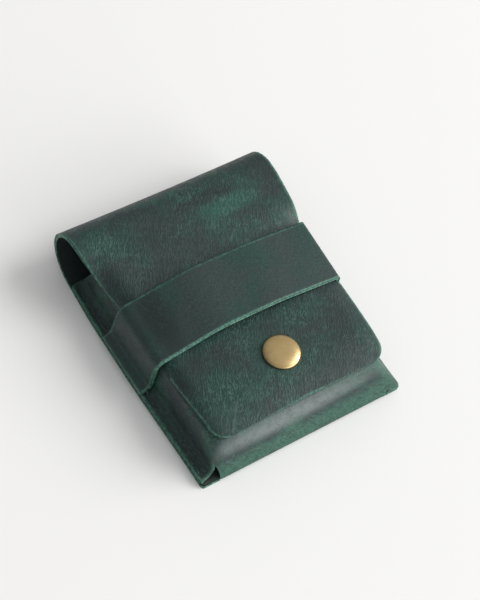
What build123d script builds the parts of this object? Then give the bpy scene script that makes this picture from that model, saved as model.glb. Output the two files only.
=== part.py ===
"""Leather card holder with a wrap-over flap, a keeper band and a press stud.

One long leather sheet makes the back, the round top fold, the flap, the slanted bottom gusset and
the front of the pocket. It is split here at its fold lines, so that the flap can swing open.
The holder lies on its back. X is its width, +Y runs towards the top fold and +Z through its
thickness, with the origin under the middle of the holder. All sizes are in millimetres.
"""

from build123d import *
from math import asin, cos, degrees, radians, sin, tan
import os

# Driving dimensions
WIDTH = 78.0            # back panel, and so the whole holder
LENGTH = 97.0           # bottom edge to the outside of the top fold
LEATHER = 1.4           # every panel's thickness
BACK_CORNER_R = 2.0

# Top fold: half a circle, made of stiff strips with a bend line between each two
FOLD_R = 11.3           # outside radius of the fold
FOLD_BENDS = 6          # bend lines, evenly spaced round the fold

# Flap
FLAP_BAND_HALF = 35.4   # half widths at the top of the band and at its free end
FLAP_TIP_HALF = 32.6
FLAP_FLAT_Z = 20.0      # outside height of its flat middle, over the snap and under the band
FLAP_SLOPE = 7.0        # steepest slope between the fold and the flat middle, in degrees
FLAP_BEND_R = 130.0
TIP_BEND_R = 45.0       # the free end turns down a little
FLAP_TIP_D = 5.9        # distances marked _D are measured from the bottom edge of the holder
TIP_BEND_D = 18.0
FLAP_FULL_D = 89.0      # from here to the fold the flap is as wide as the back
FLAP_CORNER_R = 5.5

# Pocket
FRONT_Z = 16.4          # outside height of the front panel
FRONT_HALF = 33.4       # half width outside the side gussets, at the front and at the back
BASE_HALF = 34.8
MOUTH_FRONT_D = 78.0    # the mouth slants from the front panel's edge to the back
MOUTH_BACK_D = 84.0
FLANGE_BEND_R = 1.5     # bend radii at the middle of the leather
FRONT_BEND_R = 2.0
GUSSET_LEAN = 22.0      # lean of the bottom gusset from upright, in degrees
GUSSET_HALF = 32.6
GUSSET_FOLD_R = 0.9
GUSSET_TOP_R = 2.0
FRONT_JOIN_D = 9.5      # where the bottom gusset runs into the front panel
FRONT_CUT = 2.8         # the side gussets' ends are cut back this far below the front panel
SLIT = 0.2              # gap between the side gussets' ends and the bottom gusset

# Keeper band
BAND_LOW_D = 37.0
BAND_HIGH_D = 61.5
BAND_FOOT_HALF = 36.3   # half widths outside the band's sides, at the flange and at the shoulder
BAND_SIDE_HALF = 37.0
BAND_SHOULDER_Z = 22.3  # outside height at the band's sides and at its middle
BAND_CROWN_Z = 23.5
BAND_FLANGE_BEND_R = 0.8
BAND_SHOULDER_R = 1.3

# Stitches
STITCH_PITCH = 3.4
STITCH_LENGTH = 2.6
STITCH_WIDTH = 0.6
STITCH_RISE = 0.4       # the thread stands this far out of the leather
STITCH_FLOOR = 0.3      # and stops this far above the holder's underside
STITCH_EDGE = 1.3       # from the edge of the back panel
STITCH_FIRST_D = 3.2
STITCH_LAST_D = 80.0

# Press stud
SNAP_X = 1.0            # set a little off the middle by hand
SNAP_D = 22.3
CAP_R = 6.25
CAP_EDGE = 0.5
CAP_SHOULDER_R = 0.8
CAP_DOME_ANGLE = 12.0
CAP_POST_R = 1.9
CAP_FLARE_R = 2.3       # the post's end, flared inside the socket
CAP_FLARE_HEIGHT = 0.15
SOCKET_R = 5.0
SOCKET_DEPTH = 1.7
SOCKET_BORE_R = 2.7
SOCKET_ROOF = 0.4
SPRING_INNER_R = 2.3
SPRING_OUTER_R = 3.1
SPRING_HEIGHT = 0.35
SPRING_GROOVE_R = 3.2
SPRING_GROOVE_HEIGHT = 0.5
SPRING_Z = 17.15
STUD_FLANGE_R = 4.0
STUD_FLANGE_HEIGHT = 0.4
STUD_NECK_R = 1.7
STUD_HEAD_R = 2.1
STUD_NECK_TAPER = 0.3
STUD_TOP_Z = 17.95
STUD_BORE_R = 1.05
STUD_HOLE_R = 1.3
POST_R = 1.0
POST_FLANGE_R = 4.5
POST_FLANGE_HEIGHT = 0.5
POST_TOP_Z = 17.5
RUNNING_GAP = 0.1

# Worked out from these
BOTTOM_Y = -LENGTH / 2
FOLD_Y = LENGTH / 2 - FOLD_R
FOLD_MID_R = FOLD_R - LEATHER / 2
FOLD_STEP = 180 / FOLD_BENDS
ROOT_ARC = FOLD_STEP / 2
BACK_MID_Z = LEATHER / 2
FLANGE_MID_Z = 3 * LEATHER / 2
FRONT_MID_Z = FRONT_Z - LEATHER / 2
FLAP_UNDER_Z = FLAP_FLAT_Z - LEATHER
SNAP_Y = BOTTOM_Y + SNAP_D
GUSSET_RUN_ANGLE = 90 - GUSSET_LEAN
GUSSET_FOOT_R = GUSSET_FOLD_R + LEATHER / 2
GUSSET_FOOT_Y = BOTTOM_Y + GUSSET_FOOT_R
GUSSET_CORNER_Y = GUSSET_FOOT_Y - GUSSET_FOLD_R * tan(radians((180 - GUSSET_RUN_ANGLE) / 2))
GUSSET_TOP_Y = GUSSET_CORNER_Y + (FRONT_MID_Z - BACK_MID_Z) / tan(radians(GUSSET_RUN_ANGLE))
REACH = 200.0           # longer than anything that it has to cut


def width_plane(y, x=0):
    """The upright plane across the holder at y, with its own origin at x and y axis along +Z."""
    return Plane(origin=(x, y, 0), x_dir=(1, 0, 0), z_dir=(0, -1, 0))


def fold_strip(start_angle):
    """One stiff strip of the top fold, from an angle that is measured up from the back."""
    with BuildPart() as strip:
        with BuildSketch(Plane.YZ):
            with BuildLine():
                CenterArc((FOLD_Y, FOLD_R), FOLD_MID_R, start_angle - 90, FOLD_STEP)
            trace(line_width=LEATHER)
        extrude(amount=WIDTH / 2, both=True)
    return strip


# Back panel, with the first part of the top fold
with BuildPart() as back_panel:
    with BuildSketch() as back_outline:
        with Locations((0, (BOTTOM_Y + FOLD_Y) / 2)):
            Rectangle(WIDTH, FOLD_Y - BOTTOM_Y)
        fillet(back_outline.vertices().sort_by(Axis.Y)[:2], radius=BACK_CORNER_R)
        with Locations((0, BOTTOM_Y)):
            Rectangle(2 * GUSSET_HALF, 2 * GUSSET_FOOT_R, mode=Mode.SUBTRACT)
    extrude(amount=LEATHER)
    with BuildSketch(Plane.YZ):
        with BuildLine():
            CenterArc((FOLD_Y, FOLD_R), FOLD_MID_R, -90, ROOT_ARC)
        trace(line_width=LEATHER)
    extrude(amount=WIDTH / 2, both=True)

# Strips of the top fold, each between two bend lines
top_fold = [fold_strip(ROOT_ARC + index * FOLD_STEP) for index in range(FOLD_BENDS - 1)]

# Flap, with the last part of the top fold
with BuildPart() as flap:
    with BuildSketch(Plane.YZ):
        with BuildLine():
            fold_end = CenterArc((FOLD_Y, FOLD_R), FOLD_MID_R, 90 - ROOT_ARC, ROOT_ARC)
            bend = radians(FLAP_SLOPE)
            bend_drop = FLAP_BEND_R * (1 - cos(bend))
            slope_drop = 2 * FOLD_R - FLAP_FLAT_Z - 2 * bend_drop
            slope_length = slope_drop / sin(bend)
            drop_in = JernArc(fold_end @ 1, (-1, 0), FLAP_BEND_R, FLAP_SLOPE)
            slope = PolarLine(drop_in @ 1, slope_length, 180 + FLAP_SLOPE)
            drop_out = JernArc(slope @ 1, slope % 1, FLAP_BEND_R, -FLAP_SLOPE)
            flat = Line(drop_out @ 1, (BOTTOM_Y + TIP_BEND_D, FLAP_FLAT_Z - LEATHER / 2))
            tip_turn = degrees(asin((TIP_BEND_D - FLAP_TIP_D + LEATHER) / TIP_BEND_R))
            JernArc(flat @ 1, (-1, 0), TIP_BEND_R, tip_turn)
        trace(line_width=LEATHER)
    extrude(amount=WIDTH, both=True)
    with BuildSketch() as flap_outline:
        with BuildLine():
            Polyline(
                (-FLAP_TIP_HALF, BOTTOM_Y + FLAP_TIP_D),
                (FLAP_TIP_HALF, BOTTOM_Y + FLAP_TIP_D),
                (FLAP_BAND_HALF, BOTTOM_Y + BAND_HIGH_D),
                (WIDTH / 2, BOTTOM_Y + FLAP_FULL_D),
                (WIDTH / 2, FOLD_Y + FOLD_R),
                (-WIDTH / 2, FOLD_Y + FOLD_R),
                (-WIDTH / 2, BOTTOM_Y + FLAP_FULL_D),
                (-FLAP_BAND_HALF, BOTTOM_Y + BAND_HIGH_D),
                close=True,
            )
        make_face()
        fillet(flap_outline.vertices().sort_by(Axis.Y)[:2], radius=FLAP_CORNER_R)
    extrude(amount=REACH, mode=Mode.INTERSECT)
    with Locations((SNAP_X, SNAP_Y, FLAP_FLAT_Z)):
        Hole(CAP_POST_R + RUNNING_GAP, depth=2 * LEATHER)

# Front of the pocket: front panel, side gussets and the flanges stitched to the back
with BuildPart() as front_pocket:
    with BuildSketch(width_plane(FOLD_Y)):
        with BuildLine():
            FilletPolyline(
                (WIDTH / 2, FLANGE_MID_Z),
                (BASE_HALF - LEATHER / 2, FLANGE_MID_Z),
                (FRONT_HALF - LEATHER / 2, FRONT_MID_Z),
                (-FRONT_HALF + LEATHER / 2, FRONT_MID_Z),
                (-BASE_HALF + LEATHER / 2, FLANGE_MID_Z),
                (-WIDTH / 2, FLANGE_MID_Z),
                radius=(FLANGE_BEND_R, FRONT_BEND_R, FRONT_BEND_R, FLANGE_BEND_R),
            )
        trace(line_width=LEATHER)
    extrude(amount=FOLD_Y - BOTTOM_Y)
    with BuildSketch(Plane.YZ):
        gusset_run = tan(radians(GUSSET_LEAN))
        side_start = GUSSET_CORNER_Y + LEATHER / 2 / cos(radians(GUSSET_LEAN)) + SLIT
        with BuildLine():
            Polyline(
                (side_start + (LEATHER - BACK_MID_Z) * gusset_run, LEATHER),
                (BOTTOM_Y + MOUTH_BACK_D, LEATHER),
                (BOTTOM_Y + MOUTH_BACK_D, 2 * LEATHER),
                (BOTTOM_Y + MOUTH_FRONT_D, FRONT_Z),
                (BOTTOM_Y + FRONT_JOIN_D, FRONT_Z),
                (side_start + (FRONT_Z - FRONT_CUT - BACK_MID_Z) * gusset_run, FRONT_Z - FRONT_CUT),
                close=True,
            )
        make_face()
    extrude(amount=REACH, both=True, mode=Mode.INTERSECT)
    with BuildSketch(Plane.XY.offset(FRONT_Z - LEATHER - RUNNING_GAP)):
        with Locations((0, BOTTOM_Y)):
            Rectangle(2 * (GUSSET_HALF + RUNNING_GAP), 2 * FRONT_JOIN_D)
    extrude(amount=REACH, mode=Mode.SUBTRACT)
    with Locations((SNAP_X, SNAP_Y, FRONT_Z)):
        Hole(STUD_HOLE_R, depth=2 * LEATHER)

# Bottom gusset: from the back panel's lower edge up to the front panel
with BuildPart() as bottom_gusset:
    with BuildSketch(Plane.YZ):
        with BuildLine():
            FilletPolyline(
                (GUSSET_FOOT_Y, BACK_MID_Z),
                (GUSSET_CORNER_Y, BACK_MID_Z),
                (GUSSET_TOP_Y, FRONT_MID_Z),
                (BOTTOM_Y + FRONT_JOIN_D, FRONT_MID_Z),
                radius=(GUSSET_FOLD_R * 0.999, GUSSET_TOP_R),
            )
        trace(line_width=LEATHER)
    extrude(amount=GUSSET_HALF, both=True)

# Keeper band: over the flap, with its ends in the side seams
with BuildPart() as keeper_band:
    with BuildSketch(width_plane(BOTTOM_Y + BAND_HIGH_D)):
        band_side = BAND_SIDE_HALF - LEATHER / 2
        band_flange_z = FLANGE_MID_Z + LEATHER
        with BuildLine():
            left_end = FilletPolyline(
                (-WIDTH / 2, band_flange_z),
                (-BAND_FOOT_HALF + LEATHER / 2, band_flange_z),
                (-band_side, BAND_SHOULDER_Z - LEATHER / 2),
                (-band_side + 3 * BAND_SHOULDER_R, BAND_SHOULDER_Z - LEATHER / 2),
                radius=(BAND_FLANGE_BEND_R, BAND_SHOULDER_R),
            )
            right_end = mirror(left_end, about=Plane.YZ)
            ThreePointArc(left_end @ 1, (0, BAND_CROWN_Z - LEATHER / 2), right_end @ 1)
        trace(line_width=LEATHER)
    extrude(amount=BAND_HIGH_D - BAND_LOW_D)


def stitching(x):
    """One side's seam: stitches that lie on the flange and pass down into the back panel."""
    count = int((STITCH_LAST_D - STITCH_FIRST_D) / STITCH_PITCH) + 1
    with BuildPart() as seam:
        for index in range(count):
            distance = STITCH_FIRST_D + index * STITCH_PITCH
            under_band = BAND_LOW_D < distance < BAND_HIGH_D
            surface_z = (3 if under_band else 2) * LEATHER
            with BuildSketch(Plane.XY.offset(surface_z)):
                with Locations((x, BOTTOM_Y + distance)):
                    SlotOverall(STITCH_LENGTH, STITCH_WIDTH, rotation=90)
            extrude(amount=STITCH_RISE)
            with BuildSketch(Plane.XY.offset(STITCH_FLOOR)):
                with Locations((x, BOTTOM_Y + distance + (STITCH_LENGTH - STITCH_WIDTH) / 2)):
                    Circle(STITCH_WIDTH / 2)
            extrude(amount=surface_z - STITCH_FLOOR)
    return seam


stitching_left = stitching(-WIDTH / 2 + STITCH_EDGE)
stitching_right = stitching(WIDTH / 2 - STITCH_EDGE)


def turned(*outline):
    """A round piece of the press stud, from its outline as (radius, height) corners."""
    with BuildPart() as piece:
        with BuildSketch(width_plane(SNAP_Y, SNAP_X)):
            with BuildLine():
                Polyline(*outline, close=True)
            make_face()
        revolve(axis=Axis((SNAP_X, SNAP_Y, 0), (0, 0, 1)))
    return piece


# Press stud, upper half: the cap's post goes through the flap and is flared in the socket
socket_foot_z = FLAP_UNDER_Z - SOCKET_DEPTH
socket_roof_z = FLAP_UNDER_Z - SOCKET_ROOF
groove_gap = (SPRING_GROOVE_HEIGHT - SPRING_HEIGHT) / 2
with BuildPart() as snap_cap:
    with BuildSketch(width_plane(SNAP_Y, SNAP_X)):
        with BuildLine():
            shoulder = JernArc(
                (CAP_R, FLAP_FLAT_Z + CAP_EDGE), (0, 1), CAP_SHOULDER_R, 90 - CAP_DOME_ANGLE
            )
            dome_r = (shoulder @ 1).X / sin(radians(CAP_DOME_ANGLE))
            dome = JernArc(shoulder @ 1, shoulder % 1, dome_r, CAP_DOME_ANGLE)
            Polyline(
                dome @ 1,
                (0, socket_roof_z - CAP_FLARE_HEIGHT),
                (CAP_FLARE_R, socket_roof_z - CAP_FLARE_HEIGHT),
                (CAP_FLARE_R, socket_roof_z),
                (CAP_POST_R, socket_roof_z),
                (CAP_POST_R, FLAP_FLAT_Z),
                (CAP_R, FLAP_FLAT_Z),
                (CAP_R, FLAP_FLAT_Z + CAP_EDGE),
            )
        make_face()
    revolve(axis=Axis((SNAP_X, SNAP_Y, 0), (0, 0, 1)))

snap_socket = turned(
    (CAP_POST_R, FLAP_UNDER_Z),
    (CAP_POST_R, socket_roof_z),
    (SOCKET_BORE_R, socket_roof_z),
    (SOCKET_BORE_R, SPRING_Z + SPRING_HEIGHT + groove_gap),
    (SPRING_GROOVE_R, SPRING_Z + SPRING_HEIGHT + groove_gap),
    (SPRING_GROOVE_R, SPRING_Z - groove_gap),
    (SOCKET_BORE_R, SPRING_Z - groove_gap),
    (SOCKET_BORE_R, socket_foot_z),
    (SOCKET_R - SOCKET_ROOF, socket_foot_z),
    (SOCKET_R, socket_foot_z + SOCKET_ROOF),
    (SOCKET_R, FLAP_UNDER_Z),
)
snap_spring = turned(
    (SPRING_INNER_R, SPRING_Z),
    (SPRING_OUTER_R, SPRING_Z),
    (SPRING_OUTER_R, SPRING_Z + SPRING_HEIGHT),
    (SPRING_INNER_R, SPRING_Z + SPRING_HEIGHT),
)

# Press stud, lower half: the post comes from inside the pocket and holds the stud on the front
stud_flange_top_z = FRONT_Z + STUD_FLANGE_HEIGHT
snap_stud = turned(
    (0, STUD_TOP_Z),
    (0, POST_TOP_Z),
    (STUD_BORE_R, POST_TOP_Z),
    (STUD_BORE_R, FRONT_Z),
    (STUD_FLANGE_R, FRONT_Z),
    (STUD_FLANGE_R, stud_flange_top_z),
    (STUD_NECK_R, stud_flange_top_z),
    (STUD_NECK_R, POST_TOP_Z - STUD_NECK_TAPER),
    (STUD_HEAD_R, POST_TOP_Z),
    (STUD_HEAD_R - STUD_NECK_TAPER, STUD_TOP_Z),
)
snap_post = turned(
    (0, POST_TOP_Z),
    (0, FRONT_Z - LEATHER - POST_FLANGE_HEIGHT),
    (POST_FLANGE_R, FRONT_Z - LEATHER - POST_FLANGE_HEIGHT),
    (POST_FLANGE_R, FRONT_Z - LEATHER),
    (POST_R, FRONT_Z - LEATHER),
    (POST_R, POST_TOP_Z),
)

pieces = {
    "back_panel": back_panel,
    **{f"top_fold_{index}": strip for index, strip in enumerate(top_fold, start=1)},
    "flap": flap,
    "front_pocket": front_pocket,
    "bottom_gusset": bottom_gusset,
    "keeper_band": keeper_band,
    "stitching_left": stitching_left,
    "stitching_right": stitching_right,
    "snap_cap": snap_cap,
    "snap_socket": snap_socket,
    "snap_spring": snap_spring,
    "snap_stud": snap_stud,
    "snap_post": snap_post,
}
os.makedirs("parts", exist_ok=True)
for name, piece in pieces.items():
    piece.part.label = name
    export_step(piece.part, f"parts/{name}.step")
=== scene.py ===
"""The looks of the leather card holder: its leather sheets, thread, brass, light and camera.

Lengths are in metres, in the frame of the model: X across, +Y towards the top fold, +Z up.
A leather sheet is a grid of points on its middle surface, and sheet() gives it its thickness and
round cut edges. Each point keeps its place on the flat hide, (across, along), for the materials.
Constants that end in _D are millimetres from the bottom edge.
"""

import math

import bpy
import numpy as np
from mathutils import Matrix, Vector
from mathutils.bvhtree import BVHTree


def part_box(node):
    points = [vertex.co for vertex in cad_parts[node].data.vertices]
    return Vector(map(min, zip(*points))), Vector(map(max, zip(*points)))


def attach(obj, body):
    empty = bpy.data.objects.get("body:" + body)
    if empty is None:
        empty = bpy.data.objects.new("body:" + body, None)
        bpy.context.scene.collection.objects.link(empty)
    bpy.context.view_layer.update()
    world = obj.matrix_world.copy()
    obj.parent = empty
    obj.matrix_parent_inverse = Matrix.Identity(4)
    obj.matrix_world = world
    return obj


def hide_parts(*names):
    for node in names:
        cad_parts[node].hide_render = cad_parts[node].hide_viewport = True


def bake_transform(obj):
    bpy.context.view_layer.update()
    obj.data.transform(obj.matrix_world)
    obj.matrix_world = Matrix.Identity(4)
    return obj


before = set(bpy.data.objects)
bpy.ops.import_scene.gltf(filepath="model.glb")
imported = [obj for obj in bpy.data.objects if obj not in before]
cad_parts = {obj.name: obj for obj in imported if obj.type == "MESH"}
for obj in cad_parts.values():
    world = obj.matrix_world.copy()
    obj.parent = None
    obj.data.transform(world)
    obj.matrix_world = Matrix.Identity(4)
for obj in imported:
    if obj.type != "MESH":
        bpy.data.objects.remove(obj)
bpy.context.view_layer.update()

join = np.concatenate
MM = 0.001
LEATHER = 1.4 * MM
EDGE_R = 0.3 * MM       # of every cut edge
SAME = 1e-6             # places closer than this are one place
TINY = 1e-15            # a length without a direction

# Places in the frame
HALF_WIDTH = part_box("back_panel")[1].x
BOTTOM_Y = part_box("back_panel")[0].y
FOLD_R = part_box("flap")[1].z / 2
FOLD_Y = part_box("top_fold_3")[1].y - FOLD_R
FRONT_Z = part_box("front_pocket")[1].z
FLANGE_Z = 2 * LEATHER  # upper face of the flanges
CAP_LOW, CAP_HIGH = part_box("snap_cap")


def at(distance):
    """The y of a place that is this many millimetres from the bottom edge."""
    return BOTTOM_Y + distance * MM


# -------- grids of middle surfaces

ARC_STEPS = 10


def unit(vector):
    return vector / np.linalg.norm(vector)


def rounded_path(corners, radii, run_steps):
    """Points along straight runs that arcs join, with as many steps as asked in each run."""
    corners = [np.array(corner, float) for corner in corners]
    points = [corners[0]]

    def run_to(end, steps):
        start = points[-1]
        points.extend(start + (end - start) * step / steps for step in range(1, steps + 1))

    inner = zip(corners, corners[1:], corners[2:], radii, run_steps)
    for before, corner, after, radius, steps in inner:
        back = unit(before - corner)
        ahead = unit(after - corner)
        turn = math.pi - math.acos(np.dot(back, ahead))
        run_to(corner + back * radius * math.tan(turn / 2), steps)
        centre = corner + unit(back + ahead) * radius / math.cos(turn / 2)
        spoke = points[-1] - centre
        beside = np.array((-spoke[1], spoke[0]))
        turn = math.copysign(turn, back[1] * ahead[0] - back[0] * ahead[1])
        for step in range(1, ARC_STEPS + 1):
            angle = turn * step / ARC_STEPS
            points.append(centre + spoke * math.cos(angle) + beside * math.sin(angle))
    run_to(corners[-1], run_steps[-1])
    return np.array(points)


def path_length(points):
    """How far along a path, or along each column of a grid, each point is."""
    steps = np.linalg.norm(np.diff(points, axis=0), axis=-1)
    return join((np.zeros_like(steps[:1]), np.cumsum(steps, axis=0)))


def smoothstep(value, start, end):
    t = np.clip((value - start) / (end - start), 0, 1)
    return t * t * (3 - 2 * t)


def grid_normals(middle):
    """Unit normals of a grid of points, on the side that columns x rows point to."""
    along = np.gradient(middle, axis=0)
    across = np.gradient(middle, axis=1)
    normals = np.cross(across, along)
    normals[np.linalg.norm(normals, axis=2) < TINY] = (0, 0, 1)     # where columns meet in a point
    return normals / np.linalg.norm(normals, axis=2, keepdims=True)


# -------- sheets with thickness

RIM_STEPS = 4               # in each half of the round cut edge
SIDES = {"left": 1, "right": 1}     # the sides of a sheet that are cut
CUT = 0.1                   # the way out of a sheet is longer than this at a cut edge
FAR = 50 * MM               # counts as the distance from the edge where there is no cut edge


def rim_profile():
    """The round cut edge, as (share of the outward way, height) from the upper to the lower face."""
    half = LEATHER / 2
    steps = np.radians(np.linspace(90, 0, RIM_STEPS))
    upper = [(EDGE_R * math.cos(a), half - EDGE_R + EDGE_R * math.sin(a)) for a in steps]
    return upper + [(out, -height) for out, height in reversed(upper)]


def boundary(rows, columns):
    """The grid places round a sheet, in order."""
    places = [(0, j) for j in range(columns)]
    places += [(i, columns - 1) for i in range(1, rows)]
    places += [(rows - 1, j) for j in range(columns - 2, -1, -1)]
    places += [(i, 0) for i in range(rows - 2, 0, -1)]
    return places


def outward(middle, normals, cut):
    """The way out of the sheet at each boundary point: none where it joins another sheet."""
    ways = np.zeros_like(middle)
    sides = (("first", np.s_[0, :], -1), ("last", np.s_[-1, :], 1),
             ("left", np.s_[:, 0], 1), ("right", np.s_[:, -1], -1))
    for side, place, sign in sides:
        share = np.broadcast_to(cut.get(side, 0), middle[place].shape[:1])[:, None]
        way = sign * np.cross(np.gradient(middle[place], axis=0), normals[place])
        way = way / np.maximum(np.linalg.norm(way, axis=1, keepdims=True), TINY) * share
        known = ways[place]
        at_corner = (np.linalg.norm(known, axis=1, keepdims=True) > 0) & (share > 0)
        overlap = np.sum(known * way, axis=1, keepdims=True)
        ways[place] = np.where(at_corner, (known + way) / (1 + overlap), known + way)
    return ways


def rim_distance(middle, cut):
    """How far each point is from the nearest cut edge, in millimetres."""
    down = path_length(middle)
    over = path_length(middle.swapaxes(0, 1)).T
    reaches = {"first": down, "last": down[-1] - down, "left": over, "right": over[:, -1:] - over}
    nearest = np.full(down.shape, FAR)
    for side, share in cut.items():
        share = np.asarray(share)
        nearest = np.minimum(nearest, np.where(share > 0, reaches[side], FAR))
    return nearest / MM


def grid_faces(rows, columns):
    """Faces of a sheet's two sides."""
    a = np.arange(rows * columns).reshape(rows, columns)
    upper = np.stack((a[:-1, :-1], a[:-1, 1:], a[1:, 1:], a[1:, :-1]), axis=2).reshape(-1, 4)
    lower = upper[:, ::-1] + rows * columns
    return np.stack((upper, lower), axis=1).reshape(-1, 4)


def rim_faces(rings):
    """Faces round a sheet's rim, between each ring of points and the next."""
    after = np.roll(rings, -1, axis=0)
    corners = (after[:, :-1], rings[:, :-1], rings[:, 1:], after[:, 1:])
    return np.stack(corners, axis=2).reshape(-1, 4)


def sheet(name, cut, middle, pattern, normals=None):
    """A leather sheet round a grid of middle points, with round edges on the sides that are cut."""
    rows, columns = middle.shape[:2]
    count = rows * columns
    half = LEATHER / 2
    facing = grid_normals(middle)
    normals = facing if normals is None else normals
    ways = outward(middle, facing, cut)
    rim = tuple(np.array(boundary(rows, columns)).T)
    round_points = np.stack([
        middle[rim] + ways[rim] * out + normals[rim] * z for out, z in rim_profile()[1:-1]], axis=1)
    steps, inner = round_points.shape[:2]
    points = [middle + normals * half, middle - normals * half, round_points]
    flat = [pattern, pattern, np.repeat(pattern[rim], inner, axis=0)]
    is_cut = np.linalg.norm(ways[rim], axis=1) > CUT
    from_edge = rim_distance(middle, cut)
    marks = {
        "edge": (np.zeros(2 * count), np.repeat(is_cut, inner)),
        "from_edge": (*[from_edge.ravel()] * 2, np.repeat(from_edge[rim], inner)),
        "flesh": (np.zeros(count), np.ones(count), np.zeros(steps * inner)),
    }
    upper = rim[0] * columns + rim[1]
    between_sides = 2 * count + np.arange(steps * inner).reshape(steps, inner)
    rings = np.column_stack((upper, between_sides, upper + count))
    faces = join((grid_faces(rows, columns), rim_faces(rings)))
    joined = np.repeat(~(is_cut | np.roll(is_cut, -1)), inner + 1)
    joined = join((np.zeros(len(faces) - len(joined), bool), joined))
    if np.sum(facing * normals) < 0:
        faces = faces[:, ::-1]
    points = join([part.reshape(-1, 3) for part in points])
    flat = join([part.reshape(-1, 2) for part in flat])
    marks = {mark: join(values) for mark, values in marks.items()}
    return leather_object(name, points, faces, flat, marks, joined)


def linked(name, mesh):
    """An object of this mesh, in the scene."""
    piece = bpy.data.objects.new(name, mesh)
    bpy.context.scene.collection.objects.link(piece)
    return piece


def leather_object(name, points, faces, flat, marks, joined):
    """The mesh object of a sheet, with its pattern places and marks kept for the materials."""
    mesh = bpy.data.meshes.new(name)
    mesh.from_pydata(points.tolist(), [], faces.tolist())
    mesh.update()
    mesh.polygons.foreach_set("use_smooth", ~joined)
    corner_points = np.zeros(len(mesh.loops), np.int32)
    mesh.loops.foreach_get("vertex_index", corner_points)
    layer = mesh.uv_layers.new(name="pattern")
    layer.data.foreach_set("uv", flat[corner_points].astype(np.float32).ravel())
    for mark, values in marks.items():
        attribute = mesh.attributes.new(mark, "FLOAT", "POINT")
        attribute.data.foreach_set("value", values.astype(np.float32))
    if joined.any():
        mark_sharp(mesh, joined)
    return linked(name, mesh)


def mark_sharp(mesh, joined):
    """Stops the shading from running round the flat ends where two sheets join."""
    sides = {}
    for polygon, joins in zip(mesh.polygons, joined.tolist()):
        for key in polygon.edge_keys:
            sides.setdefault(key, set()).add(joins)
    sharp = np.array([len(sides[edge.key]) == 2 for edge in mesh.edges])
    attribute = mesh.attributes.new("sharp_edge", "BOOLEAN", "EDGE")
    attribute.data.foreach_set("value", sharp)


# -------- the wrap: back, fold and flap

NOTCH_HALF = 31.7 * MM      # half width in which the bottom gusset comes out of the back panel
NOTCH_D = 1.6
NOTCH_COLUMNS = 101
WING_COLUMNS = 14           # on each side of the notch
BACK_ROWS = 60
BACK_CORNER_R = 1.2 * MM
FOLD_MID_R = FOLD_R - LEATHER / 2
FOLD_BENDS = 6
FOLD_ROWS = 24              # in each of the fold's six parts
# Distance along the sheet from the fold's start, and the half width there
LEFT_WIDTHS = ((0, 39), (33.3, 38.6), (38, 38.3), (57.6, 35.6), (82, 34.3), (113.3, 32.7))
RIGHT_WIDTHS = (
    (0, 39), (33.3, 39.7), (38, 39.4), (51.3, 37.6), (57.6, 37), (85, 35.5), (95, 34.4),
    (113.3, 32.3))
FLAP_FLAT_Z = 20.0 * MM
FLAP_SLOPE = math.radians(7.0)
FLAP_BEND_R = 130.0 * MM
FLAP_ROWS = 110
TIP_BEND_D = 18.0
TIP_BEND_R = 45.0 * MM
TIP_ROWS = 12               # along the round of the flap's corners
FLAP_TIP_D = 5.9
FLAP_CORNER_R = 5.5 * MM
# The flap leans down over its crown, and more at a bend near each edge:
EDGE_BEND_X = (27.5 * MM, 34.5 * MM)
CROWN_X = (6 * MM, 26 * MM)
# degrees at the bend and on the crown, the same at the tip, and where the lean begins
LEFT_LEAN = ((58, 8.0), (36, 3.0), (84, 62))
RIGHT_LEAN = ((24, 3.0), (18, 2.0), (70, 61))
TIP_LEAN_D = (40, 12)
# The small unevenness of the real holder
FOLD_SKEW = 1.2 * MM        # the fold's right end stands out this much further than its left
SKEW_POWER = 2.4            # most of that is near the right edge
SKEW_D = (60, 62)           # where it begins on the flap and on the back panel
BACK_Z = 10 * MM            # the back panel lies lower than this, and the flap higher
BASE_LIFT = 0.35 * MM       # the bottom edge lies this much further up the page
BASE_SKEW = 0.6 * MM        # and this much lower at its right and higher at its left
BASE_D = (1, 22)            # both fade between these distances and these heights
BASE_Z = (15 * MM, 17 * MM)
LEFT_BULGE = 0.9 * MM       # the left edge stands out this much beside the band
BULGE_X = 22 * MM           # from here outwards
BULGE_D = (2, 50)           # it grows between these distances
BULGE_END_D = (66, 92)      # and fades between these, and the heights below
BULGE_Z = (6 * MM, 20 * MM)


def between(value, distances):
    """0 to 1 as a y goes from the first to the second distance from the bottom edge."""
    return smoothstep(value, at(distances[0]), at(distances[1]))


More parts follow.
